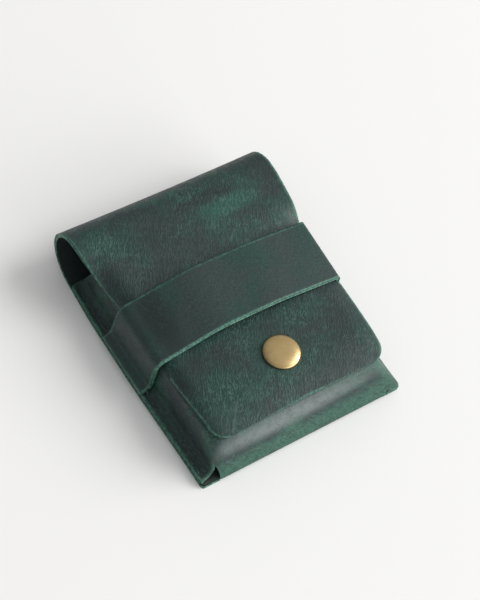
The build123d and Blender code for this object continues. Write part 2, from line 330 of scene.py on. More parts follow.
def flap_line():
    """The flap's middle line from the top of the fold to its tip, as rows of (y, z)."""
    top = 2 * FOLD_R - LEATHER / 2
    flat = FLAP_FLAT_Z - LEATHER / 2
    bend_drop = FLAP_BEND_R * (1 - math.cos(FLAP_SLOPE))
    bend_run = FLAP_BEND_R * math.sin(FLAP_SLOPE)
    slope_end = bend_run + (2 * FOLD_R - FLAP_FLAT_Z - 2 * bend_drop) / math.tan(FLAP_SLOPE)
    corner_rows = 1 - np.sin(np.radians(np.linspace(0, 90, TIP_ROWS)))
    y = join((
        np.linspace(FOLD_Y, at(FLAP_TIP_D) + FLAP_CORNER_R, FLAP_ROWS)[:-1],
        at(FLAP_TIP_D) + EDGE_R + (FLAP_CORNER_R - EDGE_R) * corner_rows,
    ))
    into = FOLD_Y - y
    to_flat = np.clip(bend_run + slope_end - into, 0, None)
    z = np.select(
        (into < bend_run, into < slope_end),
        (top - FLAP_BEND_R + np.sqrt(np.maximum(FLAP_BEND_R**2 - into**2, 0)),
         top - bend_drop - (into - bend_run) * math.tan(FLAP_SLOPE)),
        flat + FLAP_BEND_R - np.sqrt(np.maximum(FLAP_BEND_R**2 - to_flat**2, 0)))
    past = np.clip(at(TIP_BEND_D) - y, 0, None)
    return np.stack((y, z - (TIP_BEND_R - np.sqrt(TIP_BEND_R**2 - past**2))), axis=1)


def bent_over(reach, y, lean):
    """The way across and the drop of a row's points that lie this far from its middle line."""
    beside_band, at_tip, begins = lean
    to_tip = between(y, TIP_LEAN_D)
    edge, crown = (
        between(y, begins) * (angle + (tip_angle - angle) * to_tip)
        for angle, tip_angle in zip(beside_band, at_tip))
    angle = np.radians(edge * smoothstep(reach, *EDGE_BEND_X) + crown * smoothstep(reach, *CROWN_X))
    steps = np.diff(reach, prepend=0.0, axis=1)
    middle_angle = angle - np.diff(angle, prepend=0.0, axis=1) / 2
    across = np.cumsum(steps * np.cos(middle_angle), axis=1)
    return across, np.cumsum(steps * np.sin(middle_angle), axis=1)


def across_flap(shares, halves, y):
    """The flap's rows of (x, drop), bent down towards both edges."""
    right_shares = shares[len(shares) // 2:]
    left, right = (right_shares * half[:, None] for half in halves)
    x_right, drop_right = bent_over(right, y[:, None], RIGHT_LEAN)
    x_left, drop_left = bent_over(left, y[:, None], LEFT_LEAN)
    x = join((-x_left[:, :0:-1], x_right), axis=1)
    return x, join((drop_left[:, :0:-1], drop_right), axis=1)


def settled(points):
    """Points of the middle surfaces with the small unevenness of the real holder."""
    x, y, z = points[..., 0], points[..., 1], points[..., 2]
    skew_start = np.where(z > BACK_Z, at(SKEW_D[0]), at(SKEW_D[1]))
    to_right = ((x / HALF_WIDTH + 1) / 2).clip(0)
    skew = FOLD_SKEW * smoothstep(y, skew_start, FOLD_Y) * to_right**SKEW_POWER
    bulge = LEFT_BULGE * smoothstep(-x, BULGE_X, HALF_WIDTH)
    beside_band = between(y, BULGE_D) * (1 - between(y, BULGE_END_D))
    at_base = (1 - between(y, BASE_D)) * (1 - smoothstep(z, *BASE_Z))
    moved = points.copy()
    moved[..., 0] -= bulge * beside_band * (1 - smoothstep(z, *BULGE_Z))
    moved[..., 1] += skew + at_base * (BASE_LIFT - BASE_SKEW * x / HALF_WIDTH)
    return moved


def back_grid(shares, in_notch):
    """The back panel's rows, from its bottom edge to the fold."""
    half = HALF_WIDTH - EDGE_R
    corner = BACK_CORNER_R - EDGE_R
    into_corner = np.clip(corner - half * (1 - np.abs(shares)), 0, None)
    wing_y = BOTTOM_Y + EDGE_R + corner - np.sqrt(corner**2 - into_corner**2)
    start_y = np.where(in_notch, at(NOTCH_D), wing_y)
    y = start_y + (FOLD_Y - start_y) * np.linspace(0, 1, BACK_ROWS)[:, None]
    x = np.broadcast_to(shares * half, y.shape)
    return np.stack((x, y, np.full(y.shape, LEATHER / 2)), axis=2)


def fold_and_flap(shares):
    """The rows of the fold and the flap, and their places on the hide."""
    angles = np.linspace(0, math.pi, FOLD_BENDS * FOLD_ROWS + 1)[1:]
    fold_line = np.stack((
        FOLD_Y + FOLD_MID_R * np.sin(angles), FOLD_R - FOLD_MID_R * np.cos(angles),
    ), axis=1)
    line = join((fold_line, flap_line()[1:]))
    along = path_length(join(([[FOLD_Y, LEATHER / 2]], line)))[1:]
    on_flap = np.arange(len(line)) >= len(fold_line)
    from_tip = line[:, 0] - (at(FLAP_TIP_D) + EDGE_R)
    corner = FLAP_CORNER_R - EDGE_R
    past_corner = np.where(on_flap, np.clip(corner - from_tip, 0, corner), 0)
    rounding = EDGE_R + corner - np.sqrt(corner**2 - past_corner**2)
    halves = [
        np.interp(along, *(np.array(widths).T * MM)) - rounding
        for widths in (LEFT_WIDTHS, RIGHT_WIDTHS)]
    x, drop = across_flap(shares, halves, np.where(on_flap, line[:, 0], FOLD_Y))
    y = np.broadcast_to(line[:, :1], x.shape)
    across_hide = shares * np.where(shares < 0, halves[0][:, None], halves[1][:, None])
    along_hide = np.broadcast_to((along + FOLD_Y - BOTTOM_Y)[:, None], x.shape)
    return np.stack((x, y, line[:, 1:] - drop), axis=2), np.stack((across_hide, along_hide), axis=2)


def wrap_grid():
    """The whole wrap as one grid, its places on the hide, and where its first row is cut."""
    notch_end = NOTCH_HALF / HALF_WIDTH
    wing = np.linspace(notch_end, 1, WING_COLUMNS)
    inside = np.linspace(-notch_end, notch_end, NOTCH_COLUMNS)
    shares = join((-wing[:0:-1], inside, wing[1:]))   # -1 is the left edge
    in_notch = np.abs(shares) * HALF_WIDTH <= NOTCH_HALF + SAME
    back = back_grid(shares, in_notch)
    rest, rest_flat = fold_and_flap(shares)
    pattern = join((back[..., :2] - (0, BOTTOM_Y), rest_flat))
    return settled(join((back, rest))), pattern, ~in_notch


def build_wrap(material):
    """The back rides the holder, the flap rides its own body, and the fold lies between them in
    strips.
    """
    middle, pattern, first_cut = wrap_grid()
    normals = -grid_normals(middle)
    fold_start = BACK_ROWS - 1
    flap_start = fold_start + FOLD_BENDS * FOLD_ROWS

    def part(name, begin, end, **ends):
        rows = np.s_[begin:end + 1]
        piece = sheet(name, {**SIDES, **ends}, middle[rows], pattern[rows], normals[rows])
        return finished(piece, material)

    back = part("back", 0, fold_start, first=first_cut)
    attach(back, "holder")
    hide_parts("back_panel")
    centre = middle.shape[1] // 2
    for index in range(FOLD_BENDS):
        first = fold_start + index * FOLD_ROWS
        last = first + FOLD_ROWS
        strip = part(f"fold_bend_{index + 1}", first, last)
        if index < FOLD_BENDS - 1:
            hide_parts(f"top_fold_{index + 1}")
        tuple(middle[first, centre])
        tuple(middle[last, centre])
        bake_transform(strip)
    flap = part("flap_sheet", flap_start, len(middle) - 1, last=1)
    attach(flap, "flap")
    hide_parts("flap")


def finished(piece, material):
    piece.data.materials.append(material)
    return piece


# -------- front of the pocket

FRONT_HALF = 33.4 * MM
BASE_HALF = 34.8 * MM
FLANGE_BEND_R = 4.0 * MM
FRONT_BEND_R = 2.0 * MM
BASE_BEND_R = 0.8991 * MM   # there is hardly room for more
MOUTH_FRONT_D = 78.0
MOUTH_BACK_D = 84.0
GUSSET_LEAN = math.radians(22)
GUSSET_FOOT_D = 0.27
GUSSET_EDGE_Z = 1.7 * MM    # the bottom wall stands this high where it has no fold
SPLIT_Z = 7.0 * MM          # the lower left corner is slit open below this height
SLIT_TURN = 0.45            # share of the corner's turn at which the slit lies
SLIT_OPENING = 2.3 * MM
CORNER_TOP_R = 3.4 * MM     # radius of the lower corners in plan, at the front and at the base
CORNER_BASE_R = 1.6 * MM
SLIT_EDGE_R = 0.3 * MM      # and beside the slit
RIGHT_SHARPNESS = 0.7       # the right corner's radii, as a share of the left's
RIGHT_FLARE = 3.9 * MM      # the right corner spreads out to the tip of its flange
FLARE_SLOPE = 0.57          # and draws in this much for each unit of height
FLARE_D = (6, 28)           # and fades out between these distances
UNFOLD_REACH = 1.5 * MM     # the bottom wall's fold runs out over this width beside the notch
INNER_REACH = FRONT_BEND_R + 2.7 * MM   # the walls' sheet ends this far onto the front panel
INNER_ROWS = 3              # there, after the bend's
FOOT_ROWS = (5, 7)          # in the side wall's straight parts below the split
FOLDED_ROWS = (2, 10)       # in the bottom wall's, as many in all
UPPER_ROWS = 9              # above the split, up to the bend
RUN_COLUMNS = 60
SLIT_COLUMNS = 9            # in the corner on each side of the slit
CROSS_COLUMNS = 90
PANEL_COLUMNS = 60
PANEL_ROWS = 70
WALL_PLACE = 200 * MM       # added along the hide to the walls' and the front panel's places
FRONT_MID_Z = FRONT_Z - LEATHER / 2
FLANGE_MID_Z = FLANGE_Z - LEATHER / 2


def wall_x(z):
    """Half the distance between the middles of the side walls at a height."""
    rise = (z - FLANGE_MID_Z) / (FRONT_MID_Z - FLANGE_MID_Z)
    return BASE_HALF - LEATHER / 2 - (BASE_HALF - FRONT_HALF) * rise


def gusset_y(z):
    """The y of the bottom wall's middle at a height."""
    return at(GUSSET_FOOT_D) + (z - LEATHER / 2) * math.tan(GUSSET_LEAN)


def foot_profiles():
    """Rows up to the split: the side wall, and the bottom wall with and without its fold."""
    side = rounded_path(
        ((HALF_WIDTH - EDGE_R, FLANGE_MID_Z), (wall_x(FLANGE_MID_Z), FLANGE_MID_Z),
         (wall_x(SPLIT_Z), SPLIT_Z)),
        (FLANGE_BEND_R,), FOOT_ROWS)
    folded = rounded_path(
        ((at(NOTCH_D), LEATHER / 2), (gusset_y(LEATHER / 2), LEATHER / 2),
         (gusset_y(SPLIT_Z), SPLIT_Z)),
        (BASE_BEND_R,), FOLDED_ROWS)
    z = np.linspace(GUSSET_EDGE_Z, SPLIT_Z, len(side))
    return side, folded, np.stack((gusset_y(z), z), axis=1)


def top_profiles():
    """Rows from the split to the front panel: the side wall and the bottom wall."""
    return [
        rounded_path(
            ((place(SPLIT_Z), SPLIT_Z), (place(FRONT_MID_Z), FRONT_MID_Z),
             (place(FRONT_MID_Z) + inward * INNER_REACH, FRONT_MID_Z)),
            (FRONT_BEND_R,), (UPPER_ROWS, INNER_ROWS))
        for place, inward in ((wall_x, -1), (gusset_y, 1))
    ]


def corner_radius(side, sharpness):
    """The corner's radius at each row: nothing at the inner end, and most at the front bend."""
    at_top = CORNER_TOP_R * (side[:, 0] - wall_x(FRONT_MID_Z) + INNER_REACH) / INNER_REACH
    up_wall = CORNER_BASE_R + (CORNER_TOP_R - CORNER_BASE_R) * side[:, 1] / FRONT_MID_Z
    return sharpness * np.clip(np.minimum(at_top, up_wall), 0.0, None)


def turns_of(turns):
    """Each column's turn: none along the side, then round the corner."""
    return join((np.zeros(RUN_COLUMNS - 1), turns))


def wall_side(side, bottom, turns, right=False, joined=1):
    """A side wall and its corner: columns from the mouth to the corner, then as far as turns go.

    side and bottom are each row's (x, z) and (y, z), and joined is how far the corner ends at
    the bottom wall's heights. The right corner is sharper, and flares to its flange's tip.
    """
    radius = corner_radius(side, RIGHT_SHARPNESS if right else 1)[:, None]
    share = smoothstep(turns_of(turns), 0, 1) * joined
    run = join((np.linspace(1, 0, RUN_COLUMNS)[:-1], np.zeros(len(turns))))
    angle = turns_of(turns) * math.pi / 2
    corner_y = bottom[:, :1] + radius * (1 - np.sin(angle))
    up = np.clip((side[:, 1:] - FLANGE_Z) / (FRONT_Z - FLANGE_Z), 0, 1)
    mouth_y = at(MOUTH_BACK_D) + (MOUTH_FRONT_D - MOUTH_BACK_D) * MM * up - EDGE_R
    y = corner_y + (mouth_y - corner_y) * run
    near = right * (1 - between(y, FLARE_D))
    below_split = side[:, 1] < SPLIT_Z - SAME
    flared_z = np.where(below_split, bottom[:, 1], side[:, 1])
    flared_x = np.where(below_split, wall_x(flared_z), side[:, 0])
    on_front = (wall_x(FRONT_MID_Z) - side[:, 0]) / INNER_REACH
    spread_x = RIGHT_FLARE - FLARE_SLOPE * (flared_z - GUSSET_EDGE_Z)
    flared_x = flared_x + spread_x * np.clip(1 - on_front, 0, 1)
    x = side[:, :1] + (flared_x - side[:, 0])[:, None] * near
    z = side[:, 1:] + (flared_z - side[:, 1])[:, None] * near
    z = z + (bottom[:, 1:] - z) * share
    return np.stack((x - radius * (1 - np.cos(angle)), y, z), axis=2)


def foot_left(turns):
    """The left side wall below the split, with its flange, up to the slit."""
    side, _, standing = foot_profiles()
    joined = smoothstep(standing[:, 1:], GUSSET_EDGE_Z, SPLIT_Z)
    return wall_side(side, standing, turns, joined=joined) * (-1, 1, 1)


def foot_right(turns, left_turns):
    """The bottom wall below the split, from the slit, and the right side wall with its corner."""
    side, folded, standing = foot_profiles()
    right = wall_side(side, standing, turns, right=True)
    up = folded[:, 1] / SPLIT_Z
    radius = SLIT_EDGE_R + (corner_radius(side[-1:], 1) - SLIT_EDGE_R) * smoothstep(up, 0, 1)
    angle = left_turns * math.pi / 2
    wide = wall_x(folded[:, 1]) - SLIT_OPENING * (1 - up**2)
    left = np.stack((
        -wide[:, None] + radius[:, None] * (1 - np.cos(angle)),
        folded[:, :1] + radius[:, None] * (1 - np.sin(angle)),
        np.broadcast_to(folded[:, 1:], (len(folded), len(angle))),
    ), axis=2)
    steps = np.linspace(0, 1, CROSS_COLUMNS)[1:-1, None]
    x = left[:, -1:, 0] + (right[:, -1:, 0] - left[:, -1:, 0]) * steps.T
    unfolded = smoothstep(x, NOTCH_HALF, NOTCH_HALF + UNFOLD_REACH)[..., None]
    cross = folded[:, None] + (standing - folded)[:, None] * unfolded
    cross = join((x[..., None], cross), axis=2)
    return join((left, cross, right[:, ::-1]), axis=1)


def top_ring(turns):
    """The walls above the split, all the way round the pocket and onto the front panel."""
    side, bottom = top_profiles()
    left = wall_side(side, bottom, turns) * (-1, 1, 1)
    right = wall_side(side, bottom, turns, right=True)
    steps = np.linspace(0, 1, CROSS_COLUMNS)[1:-1, None]
    cross = left[:, -1:] + (right[:, -1:] - left[:, -1:]) * steps
    return join((left, cross, right[:, ::-1]), axis=1)


def hide_places(grid, ways):
    """Each point's place on the flat hide: as far from the front panel as it really is."""
    reach = path_length(grid[::-1])[::-1]
    return grid[-1, :, :2] + reach[..., None] * ways + (0, WALL_PLACE - BOTTOM_Y)


def ways_out(turns):
    """The way out of the pocket over the flat hide at each of the walls' columns."""
    angle = turns_of(turns) * math.pi / 2
    half_ways = np.stack((-np.cos(angle), -np.sin(angle)), axis=1)
    cross_ways = np.broadcast_to((0.0, -1.0), (CROSS_COLUMNS - 2, 2))
    return join((half_ways, cross_ways, half_ways[::-1] * (-1, 1)))


def build_walls(material):
    """The walls in three sheets, because the lower left corner is slit open at its foot."""
    to_slit = np.linspace(0, SLIT_TURN, SLIT_COLUMNS)
    past_slit = np.linspace(SLIT_TURN, 1, SLIT_COLUMNS)
    turns = join((to_slit, past_slit[1:]))
    top = top_ring(turns)
    ways = ways_out(turns)
    slit = RUN_COLUMNS + SLIT_COLUMNS - 2
    left_foot = foot_left(to_slit)
    right_foot = foot_right(turns, past_slit)
    in_notch = np.abs(right_foot[0, :, 0]) < NOTCH_HALF
    rows = len(left_foot)
    halves = []
    for foot, columns in ((left_foot, np.s_[:slit + 1]), (right_foot, np.s_[slit:])):
        grid = settled(join((foot[:-1], top[:, columns])))
        halves.append((grid, hide_places(grid, ways[columns]), grid_normals(grid)))
    middle, flat, normals = (
        join((left[rows - 1:, :-1], right[rows - 1:]), axis=1)
        for left, right in zip(*halves))
    normals[-1 - INNER_ROWS:] = (0, 0, 1)
    left, right = ([part[:rows] for part in half] for half in halves)
    sheets = [
        sheet("pocket_walls", SIDES, middle, flat, normals),
        sheet("pocket_foot_left", {**SIDES, "first": 1}, *left),
        sheet("pocket_foot_right", {**SIDES, "first": ~in_notch}, *right),
    ]
    for wall in sheets:
        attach(finished(wall, material), "holder")
    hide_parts("front_pocket")
    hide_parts("bottom_gusset")
    return sheets[1:]


def build_panel(material):
    """The front panel of the pocket, flat, between the walls' inner ends and the mouth."""
    half = wall_x(FRONT_MID_Z) - INNER_REACH
    x = np.linspace(-half, half, PANEL_COLUMNS)
    y = np.linspace(
        gusset_y(FRONT_MID_Z) + INNER_REACH, at(MOUTH_FRONT_D) - EDGE_R, PANEL_ROWS)
    x, y = np.meshgrid(x, y)
    middle = settled(np.stack((x, y, np.full(x.shape, FRONT_MID_Z)), axis=2))
    flat = np.stack((x, y - BOTTOM_Y + WALL_PLACE), axis=2)
    panel = sheet("front_panel", {"last": 1}, middle, flat)
    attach(finished(panel, material), "holder")


# -------- keeper band

BAND_LOW_D = 37.0
BAND_HIGH_D = 61.5
# Corners of the band's middle line in its section, (x, z), at its lower and its upper edge
BAND_LOW = ((-35.5, 3.5), (-34.9, 17.3), (-13.0, 22.9), (10.0, 22.7), (34.7, 19.4), (35.9, 3.5))
BAND_HIGH = ((-35.9, 3.5), (-34.4, 17.1), (-10.0, 22.5), (12.0, 22.4), (36.1, 20.2), (36.6, 3.5))
BAND_RADII = (3.6, 3.6, 40.0, 70.0, 1.2, 1.2)
BAND_COLUMNS = (4, 16, 24, 16, 24, 16, 4)   # in its straight parts, from left to right
BAND_ROWS = 40
BAND_PLACE = 400 * MM       # added along the hide to its places


def build_band(material):
    """The keeper band: over the flap, with its ends turned out into the side seams."""
    low = np.array(BAND_LOW) * MM
    high = np.array(BAND_HIGH) * MM
    radii = [radius * MM for radius in BAND_RADII]
    sections = []
    for share in np.linspace(0, 1, BAND_ROWS):
        corners = low + (high - low) * share
        ends = ((-HALF_WIDTH + EDGE_R, corners[0][1]), *corners,
                (HALF_WIDTH - EDGE_R, corners[-1][1]))
        sections.append(rounded_path(ends, radii, BAND_COLUMNS))
    sections = np.array(sections)
    y = np.linspace(at(BAND_LOW_D) + EDGE_R, at(BAND_HIGH_D) - EDGE_R, BAND_ROWS)
    y = np.broadcast_to(y[:, None], sections.shape[:2])
    middle = settled(np.stack((sections[:, :, 0], y, sections[:, :, 1]), axis=2))
    across = path_length(sections[BAND_ROWS // 2])
    across = across - across[-1] / 2
    pattern = np.stack((np.broadcast_to(across, y.shape), y - BOTTOM_Y + BAND_PLACE), axis=2)
    piece = sheet("band_sheet", {**SIDES, "first": 1, "last": 1}, middle, pattern)
    finished(piece, material)
    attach(piece, "holder")
    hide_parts("keeper_band")
    return piece


# -------- seams

SEAM_X = HALF_WIDTH - 1.3 * MM
STITCH_PITCH = 3.4
STITCH_D = (3.2, 80.0)      # the first and the last stitch
STITCH_LENGTH = 2.6 * MM
STITCH_DIP = 1.1 * MM       # each end goes this far down into the leather
STITCH_ENDS = 7             # more turns the ends down more suddenly
STITCH_RINGS = 23
STITCH_DRIFT = 0.05         # most millimetres out of line
SEAM_SLOPE = 0.3            # there is no stitch where the leather slopes more than this
SLOPE_REACH = 0.6 * MM      # measured this far on each side
THREAD_R = 0.29 * MM
THREAD_RISE = 0.75 * THREAD_R   # of its middle over the leather
THREAD_SIDES = 14
THREAD_TWIST = 1.7 * MM     # length of one turn of the two plies round each other
PLY_WAIST = 0.80            # share of THREAD_R between the plies
PLY_SWELL = 0.22            # and how much more there is on them
TWIST_STARTS = 6.3          # each stitch's twist begins at an angle up to this
OVERHEAD = 50 * MM          # higher than any piece


def heights_over(pieces):
    """A function for the height of the topmost of these pieces at a place, or None."""
    trees = [
        BVHTree.FromPolygons([vertex.co for vertex in piece.data.vertices],
                             [tuple(face.vertices) for face in piece.data.polygons])
        for piece in pieces]

    def height(x, y):
        start = Vector((x, y, OVERHEAD))
        hits = [tree.ray_cast(start, Vector((0, 0, -1)))[0] for tree in trees]
        return max((hit.z for hit in hits if hit), default=None)

    return height


def stitch_points(x, ends, heights, phase):
    """Points round one stitch of two-ply thread, (along, around, xyz), from hole to hole."""
    share = np.linspace(-1, 1, STITCH_RINGS)
    y, z = (start + (end - start) * (share + 1) / 2 for start, end in (ends, heights))
    z = z + THREAD_RISE - (STITCH_DIP + THREAD_R) * np.abs(share)**STITCH_ENDS
    slope = np.arctan2(np.gradient(z), np.gradient(y))[:, None]
    around = np.linspace(0, 2 * math.pi, THREAD_SIDES, endpoint=False)
    twist = phase + 2 * math.pi * path_length(np.stack((y, z), axis=1)) / THREAD_TWIST
    plies = np.abs(np.cos(around[None] - twist[:, None] / 2))
    radius = THREAD_R * (PLY_WAIST + PLY_SWELL * plies)
    upward = radius * np.sin(around)
    return np.stack((x + radius * np.cos(around), y[:, None] - upward * np.sin(slope),
                     z[:, None] + upward * np.cos(slope)), axis=2)


def tube_faces(rows, columns, first):
    """Faces of a closed tube of rings, the points of which start at first."""
    rings = first + np.arange(rows * columns).reshape(rows, columns)
    after = np.roll(rings, -1, axis=1)
    walls = np.stack((rings[:-1], after[:-1], after[1:], rings[1:]), axis=2).reshape(-1, 4)
    return [*walls.tolist(), rings[0, ::-1].tolist(), rings[-1].tolist()]


def smooth_object(name, points, faces):
    mesh = bpy.data.meshes.new(name)
    mesh.from_pydata(points.tolist(), [], faces)
    mesh.shade_smooth()
    return linked(name, mesh)


def build_seam(name, x, height, material):
    """One side's seam: a row of stitches that lie on the leather wherever it is."""
    chance = np.random.default_rng(5)
    points = []
    faces = []
    for distance in np.arange(STITCH_D[0], STITCH_D[1], STITCH_PITCH):
        ends = [at(distance) + way * STITCH_LENGTH / 2 for way in (-1, 1)]
        heights = [height(x, end) for end in ends]
        beside = [height(x + way * SLOPE_REACH, ends[0]) for way in (-1, 1)]
        off_leather = None in heights or None in beside
        if off_leather or abs(beside[1] - beside[0]) > SEAM_SLOPE * 2 * SLOPE_REACH:
            continue
        stitch_x = x + chance.uniform(-STITCH_DRIFT, STITCH_DRIFT) * MM
        rings = stitch_points(stitch_x, ends, heights, chance.uniform(0, TWIST_STARTS))
        faces += tube_faces(STITCH_RINGS, THREAD_SIDES, len(points) * rings[..., 0].size)
        points.append(rings.reshape(-1, 3))
    piece = smooth_object(name, join(points), faces)
    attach(finished(piece, material), "holder")
    return piece


# -------- cap of the press stud

CAP_SEGMENTS = 128
CAP_RINGS = 40              # in its dome
CAP_SEAT_Z = 20.0 * MM      # the flap's outside, which the cap is pressed on to
CAP_EDGE = 0.45 * MM        # height of the cap's upright rim
CAP_BEVEL = 0.1 * MM        # under that rim
CAP_SHARP = math.radians(50)    # its edges are sharp from this angle
CAP_POST_R = 1.9 * MM
CAP_FLARE_R = 2.3 * MM
CAP_FLARE_HEIGHT = 0.15 * MM
CAP_SQUARENESS = 3.2        # 2 is a half ellipse, and more is flatter with a tighter rim


def cap_outline():
    """The cap's outline as (radius, height), from beside the top of its dome to its post's end."""
    radius = (CAP_HIGH.x - CAP_LOW.x) / 2
    rim_z = CAP_SEAT_Z + CAP_EDGE
    flare_z = CAP_LOW.z + CAP_FLARE_HEIGHT
    turn = np.linspace(0, math.pi / 2, CAP_RINGS)[1:]
    dome = np.stack((radius * np.sin(turn)**(2 / CAP_SQUARENESS),
                     rim_z + (CAP_HIGH.z - rim_z) * np.cos(turn)), axis=1)
    return join((dome, (
        (radius, CAP_SEAT_Z + CAP_BEVEL), (radius - CAP_BEVEL, CAP_SEAT_Z),
        (CAP_POST_R, CAP_SEAT_Z), (CAP_POST_R, flare_z),
        (CAP_FLARE_R, flare_z), (CAP_FLARE_R, CAP_LOW.z))))


def build_cap(material):
    """The cap: a low brass dome with a wide soft shoulder, and its post through the flap."""
    outline = cap_outline()
    centre = (CAP_LOW + CAP_HIGH) / 2
    angle = np.linspace(0, -2 * math.pi, CAP_SEGMENTS, endpoint=False)
    rings = np.stack((centre.x + outline[:, :1] * np.cos(angle),
                      centre.y + outline[:, :1] * np.sin(angle),
                      np.broadcast_to(outline[:, 1:], (len(outline), CAP_SEGMENTS))), axis=2)
    piece = smooth_object(
        "cap", rings.reshape(-1, 3), tube_faces(len(outline), CAP_SEGMENTS, 0))
    piece.data.set_sharp_from_angle(angle=CAP_SHARP)
    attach(finished(piece, material), "flap")
    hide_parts("snap_cap")


# -------- materials


def material_tree(name):
    material = bpy.data.materials.new(name)
    material.use_nodes = True
    material.node_tree.nodes.clear()
    return material, material.node_tree


def node(tree, kind, inputs=None, **settings):
    """A node with its settings, and its inputs set to values or linked to other nodes' outputs."""
    made = tree.nodes.new(kind)
    for key, value in settings.items():
        setattr(made, key, value)
    for key, value in (inputs or {}).items():
        if isinstance(value, bpy.types.NodeSocket):
            tree.links.new(value, made.inputs[key])
        else:
            made.inputs[key].default_value = value
    return made


def surface(tree, colour, roughness, relief=None, **more):
    """The material's shader, with a relief in millimetres where there is one."""
    inputs = {"Base Color": colour, "Roughness": roughness}
    inputs.update((key.replace("_", " "), value) for key, value in more.items())
    if relief is not None:
        bump = node(tree, "ShaderNodeBump", {"Height": relief, "Distance": MM, "Strength": 1.0})
        inputs["Normal"] = bump.outputs[0]
    shader = node(tree, "ShaderNodeBsdfPrincipled", inputs)
    node(tree, "ShaderNodeOutputMaterial", {"Surface": shader.outputs[0]})


def sums(tree, operation, *values):
    """The output of a math node over numbers and outputs."""
    return node(tree, "ShaderNodeMath", dict(enumerate(values)), operation=operation).outputs[0]


def times(tree, *values):
    return sums(tree, "MULTIPLY", *values)


def vectors(tree, operation, *values, output="Vector"):
    """An output of a vector math node over vectors and outputs."""
    made = node(tree, "ShaderNodeVectorMath", dict(enumerate(values)), operation=operation)
    return made.outputs[output]


def noise(tree, place, scale, detail=2.0, roughness=0.5, output="Fac"):
    """Noise of about so many features in a unit of the place, from 0 to 1 round 0.5."""
    made = node(tree, "ShaderNodeTexNoise", {
        "Vector": place, "Scale": scale, "Detail": detail, "Roughness": roughness,
    }, noise_dimensions="2D")
    return made.outputs[output]


def remap(tree, value, low, high, to_low=0.0, to_high=1.0):
    made = node(tree, "ShaderNodeMapRange", {
        "Value": value, "From Min": low, "From Max": high, "To Min": to_low, "To Max": to_high,
    }, interpolation_type="SMOOTHSTEP")
    return made.outputs[0]


def blend_colour(tree, share, first, second):
    """A colour between two, each a colour or an output."""
    first, second = (
        colour if isinstance(colour, bpy.types.NodeSocket) else (*colour, 1)
        for colour in (first, second))
    made = node(tree, "ShaderNodeMix", {0: share, 6: first, 7: second}, data_type="RGBA")
    return made.outputs[2]


def mark(tree, name):
    return node(tree, "ShaderNodeAttribute", attribute_name=name).outputs["Fac"]


def millimetres(tree, place):
    return vectors(tree, "MULTIPLY", place, (1000, 1000, 1000))


def object_place(tree):
    """Where the point lies in the frame, in millimetres."""
    return millimetres(tree, node(tree, "ShaderNodeTexCoord").outputs["Object"])


def wavering(tree, place, scale, amount):
    """The place, moved about by slow noise, so that lines drawn on it waver."""
    drift = vectors(tree, "SUBTRACT", noise(tree, place, scale, output="Color"), (0.5, 0.5, 0.5))
    return vectors(tree, "MULTIPLY_ADD", drift, (amount, amount, 0), place)


def along_strokes(tree, place, angle, width, length):
    """The place turned and stretched: noise on it makes strokes of this width and length."""
    turned = node(tree, "ShaderNodeVectorRotate", {"Vector": place, "Angle": angle},
                  rotation_type="Z_AXIS").outputs[0]
    return vectors(tree, "MULTIPLY", turned, (1 / width, 1 / length, 0))


def spots(tree, place, ovals):
    """Each oval's strength on the hide: most in its middle, and 0 outside it."""
    for centre, reach, strength in ovals:
        away = vectors(tree, "SUBTRACT", place, (*centre, 0))
        away = vectors(tree, "MULTIPLY", away, (1 / reach[0], 1 / reach[1], 0))
        length = vectors(tree, "LENGTH", away, output="Value")
        yield times(tree, remap(tree, length, 1.0, 0.15), strength)


# Ovals on the hide: the middle, (across, along) in millimetres, the reach and the strength.
# Greener places on the wrap and the band, and on the walls:
WRAP_SCUFFS = (
    ((17, 127.0), (15, 4.5), 1.6),
    ((-31, 121), (10, 11), 0.9),
    ((24, 117), (14, 6), 0.6),
    ((-24, 188), (15, 17), 0.9),
    ((4, 190), (12, 9), 0.5),
    ((14, 174), (17, 6), 0.6),
    ((31, 452), (12, 16), 0.6),
)
WALL_SCUFFS = (
    ((0, 193), (90, 7), 1.3),
    ((36, 200), (10, 18), 2.5),
    ((-33, 194), (8, 10), 1.0),
)
# Darker places: painted shade where the band bends over the flap's left edge, and darker patches
WRAP_SHADES = (
    ((-29, 452), (10, 26), 1.0),
    ((12, 110), (20, 6), 0.4),
    ((9, 121.3), (21, 4.0), 0.9),
    ((-8, 113), (16, 9), 0.4),
    ((24, 182), (12, 16), 0.4),
)
# Painted shade on the left side wall, which faces away from the lamps
WALL_PAINTED_SHADE = (((-54, 200), (24, 260), 0.85),)
# Streaks of fresh green near the fold
WRAP_STREAK = (
    ((15.5, 127.3), (16, 5), 0.75),
    ((26, 123.5), (9, 5), 0.35),
    ((-4, 114), (14, 3.5), 0.35),
)
# Painted sheen: a pale grey reflection painted on the upper part of the bottom wall
WALL_PAINTED_SHEEN = (((-5, 203.4), (46, 5.4), 1.0),)
STROKE_ANGLE = math.radians(-29)    # to the hide's length
GREY = (0.015, 0.033, 0.032)
GREEN = (0.010, 0.058, 0.043)
# The band's grey: its own tone, made lighter partly as painted light
BAND_GREY_AND_PAINTED_LIGHT = (0.030, 0.054, 0.052)
WALL_GREEN = (0.028, 0.120, 0.080)
DARK = (0.007, 0.017, 0.017)
STROKE = (0.058, 0.138, 0.112)
CUT_EDGE = (0.110, 0.270, 0.200)
WORN_EDGE = (0.080, 0.215, 0.160)
FLESH = (0.016, 0.024, 0.022)
# The pale grey of the painted sheen, a painted reflection
PAINTED_SHEEN_GREY = (0.155, 0.180, 0.178)
FRESH = (0.013, 0.092, 0.063)
LEATHER_SHINE = 0.42


